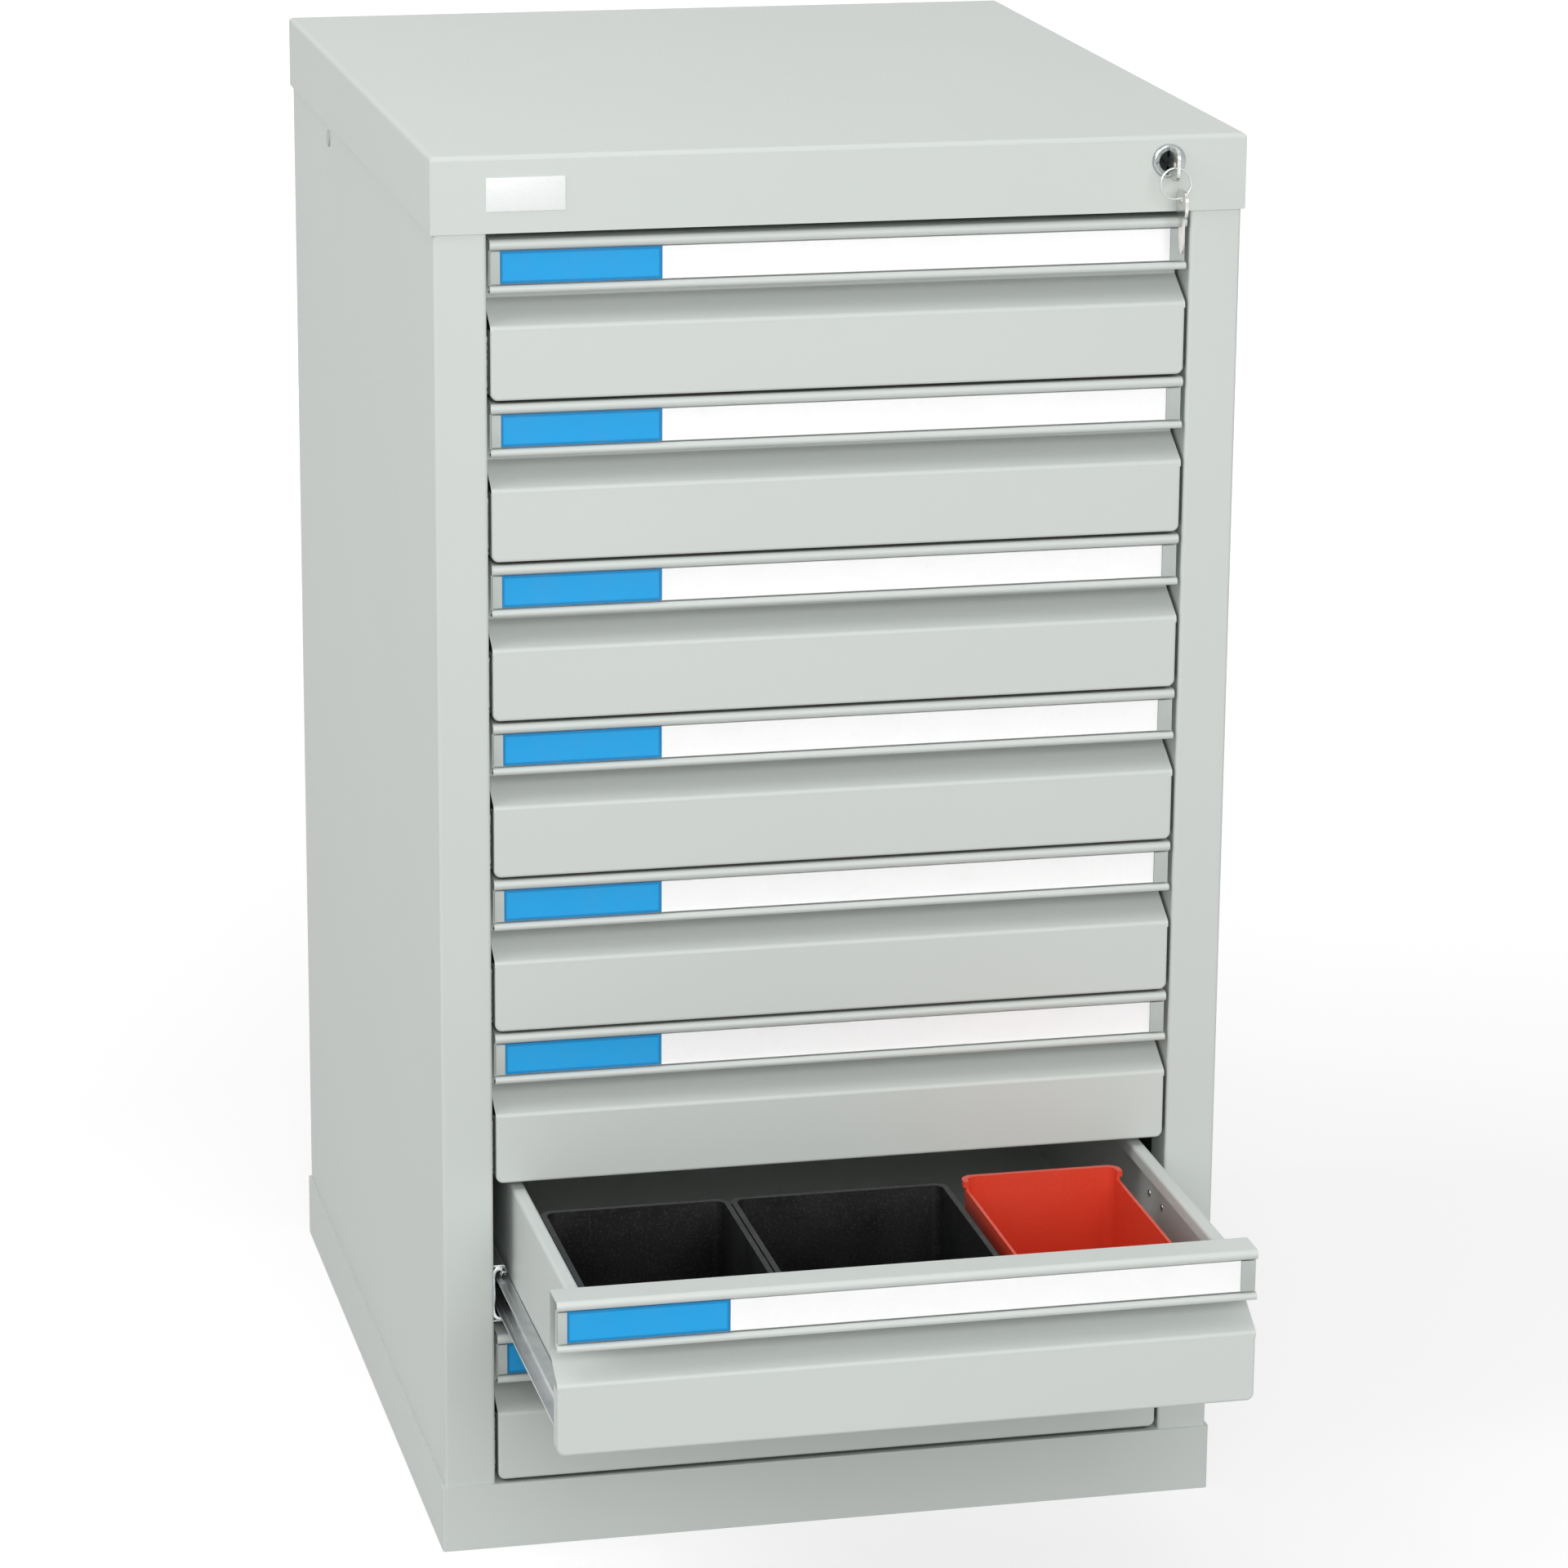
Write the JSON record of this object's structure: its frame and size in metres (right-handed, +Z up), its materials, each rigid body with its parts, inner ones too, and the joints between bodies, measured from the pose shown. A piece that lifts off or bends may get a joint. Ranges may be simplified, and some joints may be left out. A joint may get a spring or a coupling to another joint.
{
  "type": "drawer cabinet",
  "caption": "Steel drawer cabinet for tools and small parts, with eight stacked drawers on ball slides, label strips, finger grips, a central lock and loose bins in the open drawer.",
  "frame": {"origin": "on the floor, under the middle of the cabinet's own footprint with the drawers shut", "axes": "+Z up, +X to the right seen from the front, drawers open towards -Y"},
  "size_m": [0.507, 0.7982, 0.895],
  "materials": {
    "cabinet_paint": "light grey powder coat, fine satin texture",
    "front_paint": "light grey powder coat, fine satin texture",
    "tray_paint": "light grey powder coat, satin",
    "zinc_steel": "bright zinc plate, lightly drawn",
    "lock_chrome": "polished nickel chrome",
    "key_steel": "nickel plated, stamped",
    "label_card": "printed card strip, blue field and white field, behind a clear cover",
    "grey_plastic": "moulded, matte",
    "guide_nylon": "natural nylon, matte",
    "black_plastic": "moulded, satin black",
    "red_plastic": "moulded, half gloss red"
  },
  "bodies": {
    "cabinet": {"top_cap": "cabinet_paint", "side_panel_left": "cabinet_paint", "side_panel_right": "cabinet_paint", "back_panel": "cabinet_paint", "plinth_frame": "cabinet_paint", "floor_plate": "cabinet_paint", "rear_uprights": "zinc_steel", "hole_plugs": "grey_plastic", "cabinet_rails": "zinc_steel", "lock_housing": "lock_chrome", "rod_hanger": "zinc_steel", "bar_guides": "guide_nylon"},
    "lock": {"lock_plug": "lock_chrome", "lock_key": "key_steel", "locking_rod": "zinc_steel"},
    "locking_bar": {"lock_bar": "zinc_steel"},
    "drawer_1": {"drawer_1_front": "front_paint", "drawer_1_tray": "tray_paint", "drawer_1_label": "label_card", "drawer_1_rails": "zinc_steel"},
    "slide_1": {"slide_1_cages": "zinc_steel"},
    "drawer_2": {"drawer_2_front": "front_paint", "drawer_2_tray": "tray_paint", "drawer_2_label": "label_card", "drawer_2_rails": "zinc_steel"},
    "slide_2": {"slide_2_cages": "zinc_steel"},
    "drawer_3": {"drawer_3_front": "front_paint", "drawer_3_tray": "tray_paint", "drawer_3_label": "label_card", "drawer_3_rails": "zinc_steel"},
    "slide_3": {"slide_3_cages": "zinc_steel"},
    "drawer_4": {"drawer_4_front": "front_paint", "drawer_4_tray": "tray_paint", "drawer_4_label": "label_card", "drawer_4_rails": "zinc_steel"},
    "slide_4": {"slide_4_cages": "zinc_steel"},
    "drawer_5": {"drawer_5_front": "front_paint", "drawer_5_tray": "tray_paint", "drawer_5_label": "label_card", "drawer_5_rails": "zinc_steel"},
    "slide_5": {"slide_5_cages": "zinc_steel"},
    "drawer_6": {"drawer_6_front": "front_paint", "drawer_6_tray": "tray_paint", "drawer_6_label": "label_card", "drawer_6_rails": "zinc_steel"},
    "slide_6": {"slide_6_cages": "zinc_steel"},
    "drawer_7": {"drawer_7_front": "front_paint", "drawer_7_tray": "tray_paint", "drawer_7_label": "label_card", "drawer_7_rails": "zinc_steel", "black_bins": "black_plastic", "red_bin": "red_plastic"},
    "slide_7": {"slide_7_cages": "zinc_steel"},
    "drawer_8": {"drawer_8_front": "front_paint", "drawer_8_tray": "tray_paint", "drawer_8_label": "label_card", "drawer_8_rails": "zinc_steel"},
    "slide_8": {"slide_8_cages": "zinc_steel"}
  },
  "joints": [
    {"name": "lock_turn", "type": "hinge", "parent": "cabinet", "child": "lock", "pos_m": [0.2037, -0.2975, 0.8793], "axis": [0, 1, 0], "range_deg": [0, 90]},
    {"name": "bar_lift", "type": "slide", "parent": "cabinet", "child": "locking_bar", "axis": [0, 0, 1], "range_m": [0, 0.0142]},
    {"name": "drawer_1_pull", "type": "slide", "parent": "cabinet", "child": "drawer_1", "axis": [0, -1, 0], "range_m": [0, 0.4]},
    {"name": "slide_1_follow", "type": "slide", "parent": "cabinet", "child": "slide_1", "axis": [0, -1, 0], "range_m": [0, 0.2]},
    {"name": "drawer_2_pull", "type": "slide", "parent": "cabinet", "child": "drawer_2", "axis": [0, -1, 0], "range_m": [0, 0.4]},
    {"name": "slide_2_follow", "type": "slide", "parent": "cabinet", "child": "slide_2", "axis": [0, -1, 0], "range_m": [0, 0.2]},
    {"name": "drawer_3_pull", "type": "slide", "parent": "cabinet", "child": "drawer_3", "axis": [0, -1, 0], "range_m": [0, 0.4]},
    {"name": "slide_3_follow", "type": "slide", "parent": "cabinet", "child": "slide_3", "axis": [0, -1, 0], "range_m": [0, 0.2]},
    {"name": "drawer_4_pull", "type": "slide", "parent": "cabinet", "child": "drawer_4", "axis": [0, -1, 0], "range_m": [0, 0.4]},
    {"name": "slide_4_follow", "type": "slide", "parent": "cabinet", "child": "slide_4", "axis": [0, -1, 0], "range_m": [0, 0.2]},
    {"name": "drawer_5_pull", "type": "slide", "parent": "cabinet", "child": "drawer_5", "axis": [0, -1, 0], "range_m": [0, 0.4]},
    {"name": "slide_5_follow", "type": "slide", "parent": "cabinet", "child": "slide_5", "axis": [0, -1, 0], "range_m": [0, 0.2]},
    {"name": "drawer_6_pull", "type": "slide", "parent": "cabinet", "child": "drawer_6", "axis": [0, -1, 0], "range_m": [0, 0.4]},
    {"name": "slide_6_follow", "type": "slide", "parent": "cabinet", "child": "slide_6", "axis": [0, -1, 0], "range_m": [0, 0.2]},
    {"name": "drawer_7_pull", "type": "slide", "parent": "cabinet", "child": "drawer_7", "axis": [0, -1, 0], "range_m": [-0.205, 0.195]},
    {"name": "slide_7_follow", "type": "slide", "parent": "cabinet", "child": "slide_7", "axis": [0, -1, 0], "range_m": [-0.1025, 0.0975]},
    {"name": "drawer_8_pull", "type": "slide", "parent": "cabinet", "child": "drawer_8", "axis": [0, -1, 0], "range_m": [0, 0.4]},
    {"name": "slide_8_follow", "type": "slide", "parent": "cabinet", "child": "slide_8", "axis": [0, -1, 0], "range_m": [0, 0.2]}
  ],
  "couplings": [
    {"joint": "bar_lift", "follows": "lock_turn", "m_per_rad": 0.009003},
    {"joint": "slide_1_follow", "follows": "drawer_1_pull", "ratio": 0.5},
    {"joint": "slide_2_follow", "follows": "drawer_2_pull", "ratio": 0.5},
    {"joint": "slide_3_follow", "follows": "drawer_3_pull", "ratio": 0.5},
    {"joint": "slide_4_follow", "follows": "drawer_4_pull", "ratio": 0.5},
    {"joint": "slide_5_follow", "follows": "drawer_5_pull", "ratio": 0.5},
    {"joint": "slide_6_follow", "follows": "drawer_6_pull", "ratio": 0.5},
    {"joint": "slide_7_follow", "follows": "drawer_7_pull", "ratio": 0.5},
    {"joint": "slide_8_follow", "follows": "drawer_8_pull", "ratio": 0.5}
  ]
}
